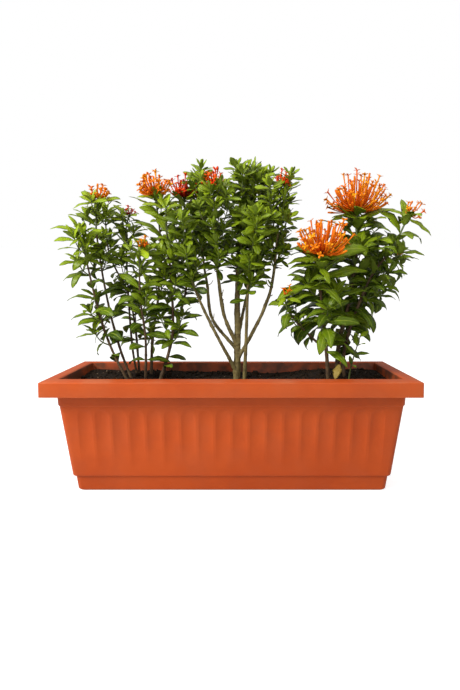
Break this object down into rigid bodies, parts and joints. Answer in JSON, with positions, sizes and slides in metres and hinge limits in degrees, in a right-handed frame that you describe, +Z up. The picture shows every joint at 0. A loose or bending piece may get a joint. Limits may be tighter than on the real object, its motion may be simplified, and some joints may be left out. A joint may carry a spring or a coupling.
{
  "type": "planted window box",
  "caption": "Long terracotta-coloured plastic window box with fluted walls and a deep rim, filled with potting soil and planted with leafy shrubs in orange flower.",
  "frame": {"origin": "centre of the trough's underside, on the middle foot pad, in the plane it rests on", "axes": "+X along the trough's length, +Y from its front long wall to its back long wall, +Z up"},
  "size_m": [0.6507, 0.2301, 0.5607],
  "materials": {
    "terracotta_plastic": "moulded orange-brown plastic, satin, slightly dusty, fine mould texture",
    "potting_soil": null,
    "cane_bark": "thin dark reddish-brown bark of young canes",
    "trunk_bark": "pale grey-brown bark of the older trunk, lightly fissured",
    "leaf": null,
    "petal_orange": null,
    "petal_red": null,
    "dry_leaf": null
  },
  "bodies": {
    "root": {"planter_box": "terracotta_plastic", "potting_soil": "potting_soil", "fallen_leaf": "dry_leaf", "left_stem_1": "cane_bark", "left_stem_2": "cane_bark", "left_stem_3": "cane_bark", "left_stem_4": "cane_bark", "left_stem_5": "cane_bark", "left_stem_6": "cane_bark", "left_stem_7": "cane_bark", "left_stem_8": "cane_bark", "left_shoot_1": "leaf", "left_shoot_2": "leaf", "left_shoot_3": "leaf", "left_shoot_4": "leaf", "left_shoot_5": "leaf", "left_shoot_6": "leaf", "left_shoot_7": "leaf", "left_shoot_8": "leaf", "left_flower_2": "petal_orange", "left_flower_3": "petal_red", "left_flower_5": "petal_orange", "left_flower_6": "petal_orange", "left_flower_8": "petal_red", "centre_stem_main": "trunk_bark", "centre_stem_6": "trunk_bark", "centre_shoot_main": "leaf", "centre_shoot_1": "leaf", "centre_shoot_2": "leaf", "centre_shoot_3": "leaf", "centre_shoot_4": "leaf", "centre_shoot_5": "leaf", "centre_shoot_6": "leaf", "centre_flower_3": "petal_red", "centre_flower_5": "petal_red", "right_stem_1": "cane_bark", "right_stem_2": "cane_bark", "right_stem_3": "cane_bark", "right_stem_5": "cane_bark", "right_shoot_1": "leaf", "right_shoot_2": "leaf", "right_shoot_3": "leaf", "right_shoot_4": "leaf", "right_shoot_5": "leaf", "right_flower_1": "petal_orange", "right_flower_2": "petal_orange", "right_flower_3": "petal_orange", "right_flower_4": "petal_orange", "right_flower_5": "petal_orange"}
  },
  "joints": []
}
